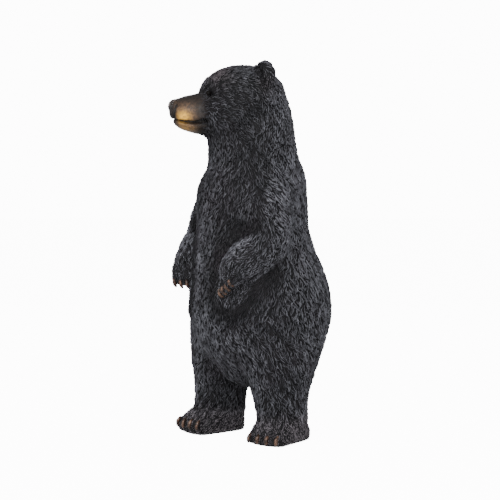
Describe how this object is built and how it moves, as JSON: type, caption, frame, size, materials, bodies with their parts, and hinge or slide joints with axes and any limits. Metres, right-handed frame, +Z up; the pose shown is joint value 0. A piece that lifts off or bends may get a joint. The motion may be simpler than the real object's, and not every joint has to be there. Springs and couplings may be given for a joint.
{
  "type": "bear statue",
  "caption": "Standing black bear figure with carved fur, its head turned to one side and its paws hanging before the belly: a free-standing ornament for a garden or a room",
  "frame": {"origin": "middle of the overall width and depth, on the ground under the soles", "axes": "+Z up, the bear's chest faces -Y, its left side is at +X"},
  "size_m": [0.1978, 0.2126, 0.4999],
  "materials": {
    "black_coat": "hand-painted cast resin, near black and satin, with a tan muzzle and copper-brown claws"
  },
  "bodies": {
    "root": {"bear": "black_coat"}
  },
  "joints": []
}
